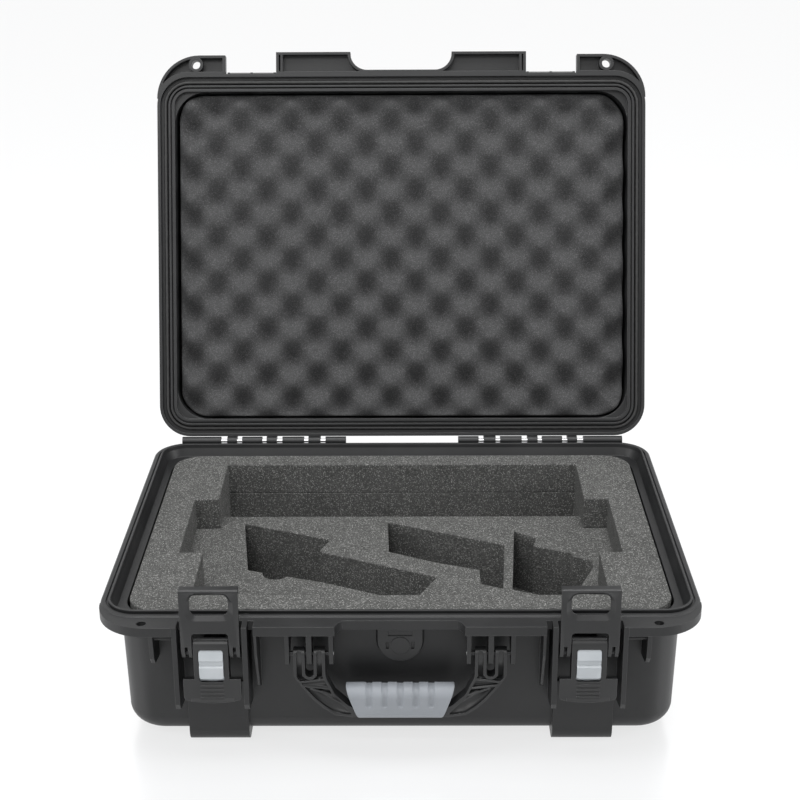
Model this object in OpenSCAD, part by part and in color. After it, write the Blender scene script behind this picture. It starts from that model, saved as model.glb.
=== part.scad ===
// Hard carrying case for a microphone kit, standing open.
// Millimetres. Z is up, X runs to the right seen from the front, and the front faces -Y.
// The origin is on the floor, under the middle of the rim.
// The base and its latches are drawn where they stand. The lid is drawn shut, as it is
// easiest to measure, and then swung open about its hinge.

/* [Case] */
// Width of the rim, side to side
case_w = 502; // [480:1:540]
// Depth of the rim, front edge to back edge
case_d = 373; // [360:1:400]
// Height from the floor to the face where lid and base meet
base_h = 130; // [126:1:140]
// Height of the lid above that face
lid_h = 63; // [58:1:75]
// Angle that the lid swings open from shut
lid_open = 108.7; // [95:0.1:110]
// Thickness of the moulded walls
wall = 4.5; // [3.5:0.5:5]
// Draft of the walls, in degrees
draft = 1.5; // [1:0.25:2]
// Radius of the rim's corners in plan
rim_r = 32; // [30:1:36]
// Radius of the walls' upright corners
body_r = 36; // [34:1:40]
// Radius of the edge round the bottom
edge_r = 16; // [14:1:18]
// Radius of the edge round the top of the lid
lid_edge_r = 16; // [14:1:20]
// Height of the feet under the bottom
foot_h = 8.5; // [5:0.5:10]
// Width of each foot rail
foot_w = 51; // [40:1:56]

/* [Rim and seal] */
// How far the walls stand in from the edge of the rim
body_inset = 13.5; // [12.5:0.5:15]
// Height of the base rim's outer face
rim_t = 9.5; // [8.5:0.5:11]
// Height of the lid rim's outer face
lid_rim_t = 11.7; // [10.5:0.1:13]
// Gap between the two rims when the lid is shut
rim_gap = 0.3; // [0.2:0.1:0.6]
// Height of the tongue that presses the seal
tongue_h = 2; // [1.5:0.1:2.4]
// Width of the tongue
tongue_t = 2.2; // [1.6:0.1:2.6]
// Width of the rubber seal
seal_w = 4.3; // [3.6:0.1:4.6]
// Depth of the seal channel in the lid
channel_h = 5.5; // [5.2:0.1:6.5]

/* [Front tabs and padlock holes] */
// How far the corner tabs stand out in front of the rim
tab_out = 18; // [16:0.5:21]
// Radius of the corner tabs in plan
tab_r = 44; // [40:1:48]
// How far a padlock hole is from the middle of the case
lock_x = 210.9; // [206:0.1:212]
// How far a padlock hole is in front of the rim
lock_out = 9.8; // [9:0.1:11]
// Diameter of the padlock hole in the base
lock_d = 8; // [6:0.5:9]
// Diameter of the padlock hole in the lid
lock_lid_d = 9; // [7:0.5:10]

/* [Hinge] */
// How far the hinge axis is behind the rim
hinge_back = 4.8; // [4.8:0.1:6]
// Diameter of the hinge pin
hinge_pin_d = 4; // [3:0.5:5]
// Radius of the hinge knuckles
knuckle_r = 4.4; // [3.8:0.1:4.5]
// Radial gap between a turning pin and its bore
pin_fit = 0.05; // [0.02:0.01:0.08]

/* [Latches] */
// How far each latch is from the middle of the case
latch_x = 154.5; // [152:0.5:156]
// Width of the claw
claw_w = 48; // [44:1:49]
// Thickness of the claw's plate
claw_t = 3.6; // [3:0.1:4]
// Height of the claw above its pivot
claw_h = 60; // [59:0.5:60]
// Width of the lever's neck
neck_w = 28.6; // [26:0.2:30]
// Width of the lever's thumb pad
pad_w = 47.5; // [42:0.5:49]
// Diameter of the pin that carries the lever
lever_pin_d = 4; // [3:0.5:4]
// Diameter of the pin that carries the claw
claw_pin_d = 3.5; // [3:0.5:4]
// Travel of the release button
button_travel = 3; // [2:0.5:3]

/* [Handle] */
// Width of the handle over its outer prongs
handle_w = 175; // [170:1:180]
// Depth of the handle's frame, front to back
handle_t = 11; // [10:0.5:12]
// Diameter of the handle's pins
handle_pin_d = 4; // [3:0.5:5]
// Width of the grip at its top
grip_w = 91; // [84:1:96]
// Height of the grip
grip_h = 30; // [26:1:32]
// Depth of the grip, front to back
grip_t = 20; // [18:1:22]

/* [Valve] */
// Width of the valve's cap
valve_w = 37; // [32:1:40]
// Height of the valve's cap
valve_h = 32; // [28:1:34]

/* [Foam] */
// Gap between the base foam and the walls
foam_gap = 3; // [2.5:0.5:5]
// Height of the top of the base foam below the rim
foam_drop = 6; // [5:0.5:9]
// Depth of the upper pocket
pocket_h = 31; // [26:1:36]
// Thickness of the uncut pad at the bottom
foam_pad_t = 20; // [17:1:20]
// Radius of the foam's corners
foam_r = 27; // [26.5:0.5:30]
// Pitch of the lid foam's bumps, side to side
bump_x = 50.6; // [46:0.2:56]
// Pitch of the lid foam's bumps, front to back
bump_y = 46.4; // [42:0.2:52]
// Height from the lid foam's dips to its peaks
bump_h = 16; // [10:1:20]
// How far a column of peaks is to the right of the middle
bump_from_x = -10.8; // [-25:0.1:25]
// How far a row of peaks is behind the middle
bump_from_y = -11.5; // [-25:0.1:25]

/* [Hidden] */
$fn = 96;
eps = 0.01;
fit = 0.3;                                // gap between pieces that move past each other

half_w = case_w / 2;
half_d = case_d / 2;
rim_z = base_h - rim_t;                   // underside of the base rim
ledge_z = rim_z - 0.5;                    // step inside, where the walls stand in
wall_top = ledge_z - wall;                // height where the drafted walls are measured
body_w = case_w - 2 * body_inset;
body_d = case_d - 2 * body_inset;
lid_z = base_h + rim_gap;                 // lower face of the lid when shut
lid_wall_z = lid_z + lid_rim_t;           // height where the lid's walls start
lid_top = base_h + lid_h;
hinge_y = half_d + hinge_back;
tab_y = half_d + tab_out;

// Latch: places in the plane across the case, y then z
lever_y = -(half_d + 11.8);
lever_z = base_h - 19.2;
lever_r = 6;
lever_skin = 2.2;
lug_r = lever_r - lever_skin - fit;         // lugs on the base, inside the lever's front
claw_y = -(half_d + 11);
claw_z = lever_z - 8.3;
claw_face = claw_y - 6.5;
claw_top = claw_z + claw_h;
claw_reach = 8.8;
claw_lip = 2.5;
keeper_y = -(half_d + 4.2);
keeper_t = 2.4;
keeper_z = lid_z + 27.3;
slot_l = 31.5;
slot_bottom = claw_top - 20.8;

// Handle: its pivot, and the ribs that carry it
pivot_y = -(half_d + 8.5);
pivot_z = base_h - 29.5;
prong_w = 9.4;
prong_gap = 7.2;
prong_x = handle_w / 2 - prong_w - prong_gap / 2;
handle_front = pivot_y - handle_t / 2;
grip_top = pivot_z - 28.6;

// Foam: levels
floor_z = foot_h + wall;
pad_top = floor_z + fit + foam_pad_t;
foam_top = base_h - foam_drop;
shelf_z = foam_top - pocket_h;
foam_w = case_w - 2 * (body_inset + wall + foam_gap) - 1;
foam_d = case_d - 2 * (body_inset + wall + foam_gap);

shell_black = [0.13, 0.135, 0.14];
latch_black = [0.17, 0.175, 0.18];
foam_grey = [0.32, 0.33, 0.33];
foam_dark = [0.24, 0.245, 0.25];
grip_grey = [0.57, 0.59, 0.62];
button_grey = [0.80, 0.82, 0.84];
steel = [0.70, 0.70, 0.72];
rubber = [0.08, 0.08, 0.08];

// ---------- shared shapes ----------

// A rectangle with round corners, centred
module round_rect(w, d, r) {
    square([w - 2 * r, d], center = true);
    square([w, d - 2 * r], center = true);
    for (x = [-1, 1], y = [-1, 1]) translate([x * (w / 2 - r), y * (d / 2 - r)]) circle(r);
}

// Sweeps a section round a rectangle with round corners. The section's x is measured
// inward from the rectangle's edge, and its y is the height.
module ring(w, d, r) {
    for (k = [0, 1]) {
        a = k == 0 ? w : d;
        b = k == 0 ? d : w;
        for (turn = [0, 180]) rotate(turn + 90 * k) translate([a / 2, b / 2 - r, 0])
            rotate([90, 0, 0]) linear_extrude(b - 2 * r) mirror([1, 0]) children();
    }
    for (q = [0:3]) translate([(q == 0 || q == 3 ? 1 : -1) * (w / 2 - r), (q < 2 ? 1 : -1) * (d / 2 - r), 0])
        rotate(90 * q) rotate_extrude(angle = 90) translate([r, 0]) mirror([1, 0]) children();
}

// Extrudes an outline given as y then z along X, from x0 for a length
module along_x(x0, length) {
    translate([x0, 0, 0]) rotate([90, 0, 90]) linear_extrude(length) children();
}

// Extrudes an outline given as x then z along Y, from y0 backwards for a length
module along_y(y0, length) {
    translate([0, y0 + length, 0]) rotate([90, 0, 0]) linear_extrude(length) children();
}

// Draws the right side's pieces and their mirror image on the left
module both_sides() {
    children();
    mirror([1, 0, 0]) children();
}

// The section of a drafted wall that rounds into a floor, solid on the inner side.
// t moves the wall's face inward, low is the height of the floor's underside, and the
// result reaches in as far as u_end and up to z_end. bite is how far the wall's line
// dips into the round, so that the two cross and don't just touch.
module wall_outline(t, low, r, u_end, z_end) {
    cz = low + r;
    cu = (r + t) / cos(draft) + (wall_top - cz) * tan(draft);
    bite = 0.04;
    polygon([
        [t / cos(draft) - (z_end - wall_top) * tan(draft), z_end],
        [cu - (r - bite) * cos(draft), cz - (r - bite) * sin(draft)],
        [cu, cz], [cu, low], [u_end, low], [u_end, z_end]
    ]);
    intersection() {
        translate([cu, cz]) circle(r);
        translate([cu - r - 1, low - 1]) square([r + 1 + eps, r + 1 + eps]);
    }
}

function wall_u(z) = (wall_top - z) * tan(draft);
// y of the outside of the front wall at a height
function front_wall(z) = -(body_d / 2 - wall_u(z));

// The front tabs, latch notches and handle bracket in plan, ahead of the rim. edge trims
// the outline all round, for the pockets under it.
module front_plan(tab, notch_out, notch_in, notch_y, bracket_out, bracket_in, bracket_y, mid_y, scoop, edge) {
    back = half_d - 20;
    both_sides() {
        intersection() {
            translate([half_w - tab_r, -(tab - tab_r)]) circle(tab_r - edge);
            translate([half_w - tab_r, -tab]) square([tab_r, tab_r]);
        }
        translate([notch_out + edge, -(tab - edge)]) square([half_w - tab_r - notch_out - edge, tab - edge - back]);
        translate([bracket_in + edge, -(bracket_y - edge)])
            square([bracket_out - bracket_in - 2 * edge, bracket_y - edge - back]);
        if (edge == 0) translate([0, -notch_y]) square([notch_out + eps, notch_y - back]);
        if (edge == 0) translate([0, -mid_y]) square([bracket_in, mid_y - back]);
        difference() {
            translate([bracket_in - scoop + 2 * edge, -mid_y - scoop + edge]) square([scoop - edge + eps, scoop]);
            translate([bracket_in - scoop, -mid_y - scoop]) circle(scoop + edge);
            translate([bracket_in - scoop - 1, -mid_y - scoop - 1]) square([2 * scoop, mid_y + scoop - bracket_y + edge + 1]);
        }
    }
}

// ---------- base ----------

module base_rim_section() {
    edge = 1.2;
    slot_u = 4.4;
    tongue_u = 6.5;
    polygon([
        [edge, base_h], [slot_u, base_h], [slot_u, base_h - 1.6], [tongue_u, base_h - 1.6],
        [tongue_u, base_h + tongue_h - 0.4], [tongue_u + 0.4, base_h + tongue_h],
        [tongue_u + tongue_t - 0.4, base_h + tongue_h], [tongue_u + tongue_t, base_h + tongue_h - 0.4],
        [tongue_u + tongue_t + 0.5, base_h - 2], [body_inset - 0.6, ledge_z - 1],
        [body_inset - 0.6, wall_top - 0.5], [8, wall_top - 0.5], [8, rim_z], [0, rim_z], [0, base_h - edge]
    ]);
}

module base_front_plan(edge) {
    front_plan(
        tab = tab_y, notch_out = latch_x + 31.3, notch_in = latch_x - 30, notch_y = half_d + 5.5,
        bracket_out = latch_x - 34.9, bracket_in = 53.5, bracket_y = half_d + 16.5, mid_y = half_d, scoop = 20, edge = edge
    );
}

// A rib on the front wall. reach and heights are measured where it is drawn.
module front_rib(x, t, points) {
    along_x(x, t) polygon(concat(
        [[front_wall(points[0][1]) + wall / 2, points[0][1]]], points,
        [[front_wall(points[len(points) - 1][1]) + wall / 2, points[len(points) - 1][1]]]
    ));
}

module guide_rib(x, t) {
    tip = 7;
    out = tab_y - 0.5;
    low = base_h - 80;
    front_rib(x, t, [
        [-out, base_h - 1.2], [-out, low + tip], [-out + 2, low + 2], [-out + tip, low], [front_wall(low), low - 6]
    ]);
}

// The two lugs inside the lever's neck that its pin runs through, and the bar above the catch
module lever_lugs() {
    for (x = [-9, 5]) along_x(latch_x + x, 4) {
        translate([lever_y, lever_z]) circle(lug_r);
        polygon([
            [lever_y, lever_z - lug_r], [front_wall(lever_z - 19) + wall / 2, lever_z - 19],
            [front_wall(lever_z - 7) + wall / 2, lever_z - 7], [lever_y + 3, lever_z - 1]
        ]);
    }
    front_rib(latch_x - 4, 8, [[lever_y + 13, lever_z - 21.3], [lever_y + 13, lever_z - 23.8]]);
}

module handle_ribs() {
    for (x = [prong_x - prong_gap / 2 - prong_w - 6.8, prong_x - 2.2, prong_x + prong_gap / 2 + prong_w + 3.3])
        front_rib(x, x == prong_x - 2.2 ? 4.4 : 3.5, [
            [-(half_d + 15), rim_z + 2], [-(half_d + 14), pivot_z + 2], [pivot_y - 4, pivot_z - 8],
            [pivot_y, pivot_z - 10.5], [pivot_y + 5, pivot_z - 9.5], [front_wall(pivot_z) - 4, pivot_z + 4]
        ]);
}

// Where the base's and the lid's knuckles lie, as start and end from the middle of the case
base_knuckles = [[58.1, 79.2], [101.5, 123.8], [144.8, 165.5], [187.4, 227.5]];
lid_knuckles = [[84.5, 96.9], [129.7, 140.2], [171, 180.9]];

module base_hinge() {
    for (k = base_knuckles) along_x(k[0], k[1] - k[0]) {
        translate([hinge_y, base_h]) circle(knuckle_r);
        polygon([
            [half_d - 3, rim_z + 1], [half_d, rim_z + 1], [hinge_y + knuckle_r - 1, base_h - 4],
            [hinge_y + knuckle_r, base_h], [half_d - 3, base_h - 2]
        ]);
    }
}

module foot_rail() {
    low = foot_h + wall / 2;
    side = 3.5;
    front_top = base_h - 68;
    back_top = base_h - 80;
    along_x(latch_x - foot_w / 2, foot_w) difference() {
        union() {
            translate([-body_d / 2, 0]) wall_outline(-side, 0, edge_r - 2, body_d / 2, front_top);
            mirror([1, 0]) translate([-body_d / 2, 0]) wall_outline(-side, 0, edge_r - 2, body_d / 2, back_top);
        }
        translate([-body_d / 2, 0]) wall_outline(wall / 2, low, edge_r - wall / 2, body_d / 2 + eps, base_h);
        mirror([1, 0]) translate([-body_d / 2, 0])
            wall_outline(wall / 2, low, edge_r - wall / 2, body_d / 2 + eps, base_h);
    }
}

// The valve's cap in front view, grown by a margin
module valve_outline(grow) {
    r = valve_w / 2 + grow;
    top = valve_z + valve_h - valve_w / 2 + grow;
    translate([0, valve_z]) intersection() {
        circle(r);
        translate([-r, -r]) square([2 * r, r + top - valve_z]);
    }
    translate([-r, valve_z]) square([2 * r, top - valve_z]);
}
valve_z = base_h - 29.2;
valve_face = front_wall(valve_z) - 3.6;
valve_seat = front_wall(valve_z) + 1.2;
valve_bore_d = 14;
valve_back = front_wall(valve_z) + wall;

module base_shell() color(shell_black) difference() {
    union() {
        ring(body_w, body_d, body_r) difference() {
            wall_outline(0, foot_h, edge_r, edge_r + 6, wall_top + 2);
            wall_outline(wall, foot_h + wall, edge_r - wall, edge_r + 7, wall_top + 3);
        }
        translate([0, 0, foot_h]) linear_extrude(wall)
            round_rect(body_w - 2 * edge_r - 10, body_d - 2 * edge_r - 10, body_r - edge_r - 5);
        translate([0, 0, wall_top]) linear_extrude(ledge_z - wall_top) difference() {
            round_rect(case_w - 19, case_d - 19, rim_r - 9.5);
            round_rect(body_w - 2 * wall - 2, body_d - 2 * wall - 2, body_r - wall - 1);
        }
        ring(case_w, case_d, rim_r) base_rim_section();
        translate([0, 0, rim_z]) linear_extrude(rim_t - 1.2) difference() {
            base_front_plan(0);
            round_rect(case_w - 10, case_d - 10, rim_r - 5);
        }
        both_sides() {
            guide_rib(latch_x + 27.3, 4);
            guide_rib(latch_x - 30, 4.3);
            front_rib(latch_x - 37.4, 2.5, [
                [-(half_d + 15.5), rim_z + 2], [-(half_d + 13), base_h - 30], [front_wall(base_h - 60) - 12, base_h - 66],
                [front_wall(base_h - 70), base_h - 74]
            ]);
            front_rib(latch_x + 47.2, 3.5, [
                [-(half_d + 16), rim_z + 2], [-(half_d + 12), base_h - 33], [-(half_d + 6), base_h - 40],
                [front_wall(base_h - 44), base_h - 44]
            ]);
            front_rib(latch_x + 30, 18, [[-(half_d + 9), base_h - 15], [-(half_d + 9), base_h - 17]]);
            lever_lugs();
            handle_ribs();
            base_hinge();
            foot_rail();
        }
    }
    translate([0, 0, rim_z - eps]) linear_extrude(rim_t - 4.2) difference() {
        base_front_plan(2.6);
        round_rect(case_w + 5, case_d + 5, rim_r + 2.5);
        both_sides() translate([lock_x, -(half_d + lock_out)]) circle(lock_d / 2 + 3);
        both_sides() translate([lock_x - 1.2, -(half_d + 30)]) square([2.4, 30]);
    }
    both_sides() {
        translate([lock_x, -(half_d + lock_out), rim_z - 1]) cylinder(d = lock_d, h = rim_t + 2);
        along_x(base_knuckles[0][0] - 1, base_knuckles[3][1] - base_knuckles[0][0] + 2)
            translate([hinge_y, base_h]) circle(hinge_pin_d / 2 + pin_fit);
        along_x(latch_x - 10, 20) translate([lever_y, lever_z]) circle(lever_pin_d / 2 + pin_fit);
        along_x(prong_x - 25, 50) translate([pivot_y, pivot_z]) circle(handle_pin_d / 2 + pin_fit);
    }
    along_y(valve_face - 5, valve_seat - valve_face + 5) valve_outline(1.2);
    along_y(valve_seat - 1, valve_back - valve_seat + 2) translate([0, valve_z]) circle(d = valve_bore_d + 0.4);
    // flat seat inside for the seal, as the wall leans
    along_y(valve_back, 3) translate([0, valve_z]) circle(d = valve_bore_d + 6.6);
}

module pin(x, y, z, d, length) {
    chamfer = 0.4;
    translate([x - length / 2, y, z]) rotate([0, 90, 0]) {
        cylinder(d1 = d - 2 * chamfer, d2 = d, h = chamfer);
        translate([0, 0, chamfer]) cylinder(d = d, h = length - 2 * chamfer);
        translate([0, 0, length - chamfer]) cylinder(d1 = d, d2 = d - 2 * chamfer, h = chamfer);
    }
}

module hinge_pin(side) color(steel)
    pin(side * (base_knuckles[0][0] + base_knuckles[3][1]) / 2, hinge_y, base_h, hinge_pin_d,
        base_knuckles[3][1] - base_knuckles[0][0] - 1);
module hinge_pin_left() { hinge_pin(-1); }
module hinge_pin_right() { hinge_pin(1); }

// ---------- lid ----------

// Swings what is drawn shut into the place where it stands open
module swung_open() {
    translate([0, hinge_y, base_h]) rotate([-lid_open, 0, 0]) translate([0, -hinge_y, -base_h]) children();
}

seal_u = 6;
module lid_rim_section() {
    channel_in = seal_u - 2.9;
    channel_out = seal_u + seal_w + 1.2;
    lip = body_inset + wall;
    polygon([
        [0, lid_z], [channel_in, lid_z], [channel_in, lid_z + channel_h], [channel_out, lid_z + channel_h],
        [channel_out, lid_z], [channel_out + 2, lid_z], [channel_out + 2, lid_z + 4],
        [lip - 2.9, lid_z + 4], [lip - 2.9, lid_z], [lip, lid_z], [lip, lid_wall_z],
        [1.5, lid_wall_z], [0, lid_wall_z - 1.5]
    ]);
}

module lid_front_plan(edge) {
    front_plan(
        tab = tab_y + 1.2, notch_out = latch_x + 26.2, notch_in = latch_x - 26.1, notch_y = half_d + 0.2,
        bracket_out = latch_x - 26.1, bracket_in = 52, bracket_y = half_d + 22.2, mid_y = half_d + 3.9, scoop = 17, edge = edge
    );
}

module lid_outline(t, top_r, u_end) {
    translate([0, lid_wall_z + wall_top]) mirror([0, 1])
        wall_outline(t, wall_top + lid_wall_z - lid_top + t, top_r - t, u_end, wall_top + 3);
}

// The ridge on the lid's front that a claw hooks over
module keeper() {
    along_x(latch_x - 25, 50) polygon([
        [-(half_d - 4), lid_z + 4], [-half_d, lid_z + 4], [keeper_y + 1.6, lid_wall_z], [keeper_y, lid_wall_z + 6],
        [keeper_y, keeper_z - 0.6], [keeper_y + 0.6, keeper_z], [keeper_y + keeper_t, keeper_z],
        [keeper_y + keeper_t, lid_wall_z + 4], [-(half_d - 4), lid_wall_z]
    ]);
    for (x = [-25, -1.2, 22.6]) along_x(latch_x + x, 2.4) polygon([
        [keeper_y + 1, lid_wall_z - 2], [keeper_y + 1, lid_wall_z + 9], [front_wall(wall_top) + 2, lid_wall_z + 5],
        [front_wall(wall_top) + 2, lid_wall_z - 2]
    ]);
}

module lid_hinge_arm(k) {
    heel = 4;
    along_x(k[0], k[1] - k[0]) {
        translate([hinge_y, base_h]) circle(knuckle_r);
        polygon([
            [half_d - 3, lid_z + 1], [half_d, lid_z + 0.4], [hinge_y, base_h], [hinge_y + knuckle_r, base_h],
            [hinge_y + knuckle_r - 0.6, base_h + 3], [half_d, lid_z + 9], [half_d - 3, lid_z + 9]
        ]);
        translate([hinge_y, base_h]) rotate(lid_open) translate([-hinge_back + fit, -6.5]) square([heel, 5.5]);
    }
}

module lid_rail() {
    side = 2;
    front_low = lid_top - 36;
    along_x(latch_x - foot_w / 2, foot_w) intersection() {
        translate([-half_d, front_low]) square([case_d, lid_h]);
        difference() {
            union() {
                translate([-body_d / 2, side]) lid_outline(-0.5, lid_edge_r, body_d / 2);
                mirror([1, 0]) translate([-body_d / 2, side]) lid_outline(-0.5, lid_edge_r, body_d / 2);
            }
            translate([-body_d / 2, 0]) lid_outline(wall / 2, lid_edge_r, body_d / 2 + eps);
            mirror([1, 0]) translate([-body_d / 2, 0]) lid_outline(wall / 2, lid_edge_r, body_d / 2 + eps);
        }
    }
}

module lid_shell_shut() difference() {
    union() {
        ring(body_w, body_d, body_r) difference() {
            lid_outline(0, lid_edge_r, lid_edge_r + 8);
            lid_outline(wall, lid_edge_r, lid_edge_r + 9);
        }
        translate([0, 0, lid_top - wall]) linear_extrude(wall)
            round_rect(body_w - 2 * lid_edge_r - 10, body_d - 2 * lid_edge_r - 10, body_r - lid_edge_r - 5);
        translate([0, 0, lid_z + 5]) linear_extrude(lid_rim_t - 5) difference() {
            round_rect(case_w - 24, case_d - 24, rim_r - 12);
            round_rect(body_w - 2 * wall, body_d - 2 * wall, body_r - wall);
        }
        ring(case_w, case_d, rim_r) lid_rim_section();
        translate([0, 0, lid_z]) linear_extrude(lid_rim_t) difference() {
            lid_front_plan(0);
            round_rect(case_w - 4, case_d - 4, rim_r - 2);
        }
        both_sides() {
            keeper();
            lid_rail();
            for (k = lid_knuckles) lid_hinge_arm(k);
        }
    }
    translate([0, 0, lid_z - eps]) linear_extrude(lid_rim_t - 2.8) difference() {
        lid_front_plan(2.8);
        round_rect(case_w + 5, case_d + 5, rim_r + 2.5);
        both_sides() translate([lock_x, -(half_d + lock_out)]) circle(lock_lid_d / 2 + 3);
        both_sides() translate([lock_x - 1.2, -(half_d + 30)]) square([2.4, 30]);
        both_sides() translate([latch_x - 33, -(half_d + 30)]) square([2.4, 30]);
    }
    both_sides() {
        translate([lock_x, -(half_d + lock_out), lid_z - 1]) cylinder(d = lock_lid_d, h = lid_rim_t + 2);
        along_x(lid_knuckles[0][0] - 1, lid_knuckles[2][1] - lid_knuckles[0][0] + 2)
            translate([hinge_y, base_h]) circle(hinge_pin_d / 2 + pin_fit);
    }
}

module lid_shell() { color(shell_black) swung_open() lid_shell_shut(); }

module lid_gasket() {
    color(rubber) swung_open() ring(case_w, case_d, rim_r) {
        translate([seal_u, lid_z + channel_h - 1.2]) square([seal_w, 1.2]);
        translate([seal_u + seal_w / 2, lid_z + channel_h - 1.2]) intersection() {
            circle(seal_w / 2);
            translate([-seal_w / 2, -seal_w / 2]) square([seal_w, seal_w / 2 + eps]);
        }
    }
}

// ---------- latches ----------

// A slot with round corners and a chamfer all round its front edge, cut along Y
module chamfered_slot(w, h, r, c, y0, depth) {
    along_y(y0, depth) round_rect(w, h, r);
    for (x = [-1, 1], z = [-1, 1]) translate([x * (w / 2 - r), y0 - eps, z * (h / 2 - r)])
        rotate([-90, 0, 0]) cylinder(r1 = r + c, r2 = r, h = c);
    translate([0, 0, -(h / 2 - r)]) linear_extrude(h - 2 * r) polygon([
        [-w / 2 - c, y0 - eps], [w / 2 + c, y0 - eps], [w / 2, y0 + c], [-w / 2, y0 + c]
    ]);
    along_x(-(w / 2 - r), w - 2 * r) polygon([
        [y0 - eps, -h / 2 - c], [y0 - eps, h / 2 + c], [y0 + c, h / 2], [y0 + c, -h / 2]
    ]);
}

module latch_claw(side) color(latch_black) translate([side * latch_x, 0, 0]) difference() {
    leg_w = (claw_w - neck_w) / 2 - 0.8;
    inner = claw_face + claw_t;
    neck_top = claw_z + 21;
    back = claw_face + claw_reach;
    union() {
        along_x(-claw_w / 2, claw_w) difference() {
            polygon([
                [claw_face, neck_top], [claw_face, claw_top - 2], [claw_face + 0.6, claw_top - 0.6], [claw_face + 2, claw_top],
                [back - 0.6, claw_top], [back, claw_top - 0.6], [back, claw_top - 3.5 - claw_lip],
                [back - 1.2, claw_top - 3.5 - claw_lip], [back - 2, claw_top - 3.5],
                [inner, claw_top - 3.5], [inner, neck_top]
            ]);
        }
        for (x = [-claw_w / 2, claw_w / 2 - leg_w]) along_x(x, leg_w) {
            translate([claw_y, claw_z]) circle(4);
            polygon([
                [claw_face, neck_top + eps], [inner, neck_top + eps], [inner, neck_top - 6], [claw_y + 4, claw_z],
                [claw_y - 4, claw_z], [claw_face, claw_z + 5]
            ]);
        }
        for (s = [-1, 1]) translate([s * (neck_w / 2 + 0.8), 0, 0]) mirror([s < 0 ? 0 : 1, 0, 0])
            along_y(claw_face, claw_t) translate([0, neck_top]) difference() {
                translate([-eps, -3]) square([3, 3 + eps]);
                translate([3, -3]) circle(3);
            }
    }
    translate([0, 0, slot_bottom + 8]) chamfered_slot(slot_l, 16, 6, 2.8, claw_face, claw_t + 2);
    for (s = [-1, 1]) translate([s * (claw_w / 2 - leg_w / 2) - 1.3, claw_y - 15, claw_z - 10]) cube([2.6, 30, 18.5]);
    along_x(-claw_w / 2 - 1, claw_w + 2) translate([claw_y, claw_z]) circle(claw_pin_d / 2 + pin_fit);
}
module latch_claw_left() { latch_claw(-1); }
module latch_claw_right() { latch_claw(1); }

lever_face = lever_y - lever_r;
pad_t = 3.2;
window_w = 20.6;
window_top = lever_z - 2.4;
window_low = lever_z - 32.4;
window_r = 2.5;
pad_top_z = lever_z - 29.6;
pad_low = lever_z - 52;

module latch_lever(side) color(latch_black) translate([side * latch_x, 0, 0]) difference() {
    side_t = 2.2;
    inner_r = lever_r - 1.4;
    back = lever_y + lever_r;
    union() {
        for (x = [-neck_w / 2, neck_w / 2 - side_t]) along_x(x, side_t) {
            translate([lever_y, lever_z]) circle(lever_r);
            polygon([
                [lever_face, lever_z], [lever_face, pad_low + 3], [lever_face + 5, pad_low + 3],
                [back, pad_low + 12], [back, lever_z]
            ]);
        }
        along_x(-neck_w / 2, neck_w) {
            translate([lever_y, lever_z]) intersection() {
                difference() {
                    circle(lever_r);
                    circle(inner_r);
                }
                translate([-lever_r, 0]) square([lever_r + 1, lever_r]);
            }
            translate([lever_face, pad_top_z - 2]) square([lever_skin, lever_z - pad_top_z + 2]);
        }
        // thumb pad, with a round lower edge and four grip ribs
        along_y(lever_face, pad_t) intersection() {
            translate([-pad_w / 2, pad_low]) square([pad_w, pad_top_z - pad_low]);
            union() {
                translate([0, pad_low + 8]) square([pad_w, 16], center = true);
                translate([0, pad_top_z]) square([pad_w, 2 * (pad_top_z - pad_low - 7)], center = true);
            }
            translate([0, pad_low + 90]) circle(90);
            translate([0, pad_top_z + 4]) round_rect(pad_w, 2 * (pad_top_z + 4 - pad_low), 7);
        }
        for (k = [0:3]) translate([-9.5, lever_face - 0.9, pad_top_z - 6.6 - 3.7 * k]) cube([19, 1.2, 1.7]);
        along_x(-pad_w / 2 + 6, pad_w - 12) polygon([
            [lever_face, pad_low + 5], [lever_face - 1.6, pad_low + 2.2], [lever_face, pad_low + 1.6], [lever_face + 1, pad_low + 3]
        ]);
        // seat of the button's spring
        along_x(-5, 10) polygon([
            [lever_face + 1, pad_low + 6], [spring_y + 2.6, pad_low + 6], [spring_y + 2.6, spring_low - fit],
            [lever_face + 1, spring_low - fit]
        ]);
    }
    along_y(lever_face - 1, lever_skin + 2) translate([0, (window_top + window_low) / 2])
        round_rect(window_w, window_top - window_low, window_r);
    // room behind the pad for the button's plate
    translate([-window_w / 2 - 1.4, lever_face + lever_skin, window_low - button_travel])
        cube([window_w + 2.8, 3, pad_top_z - window_low + button_travel + 1]);
    along_x(-neck_w, 2 * neck_w) {
        translate([lever_y, lever_z]) circle(lever_pin_d / 2 + pin_fit);
        translate([claw_y, claw_z]) circle(claw_pin_d / 2 + pin_fit);
    }
}
module latch_lever_left() { latch_lever(-1); }
module latch_lever_right() { latch_lever(1); }

button_back = lever_face + lever_skin + fit;
spring_wire = 0.8;
spring_turns = 5;
spring_r = 1.75;
spring_low = pad_low + 8.5;
spring_high = window_low - 0.3;
spring_y = lever_face + pad_t + fit + spring_r + spring_wire / 2;

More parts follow.
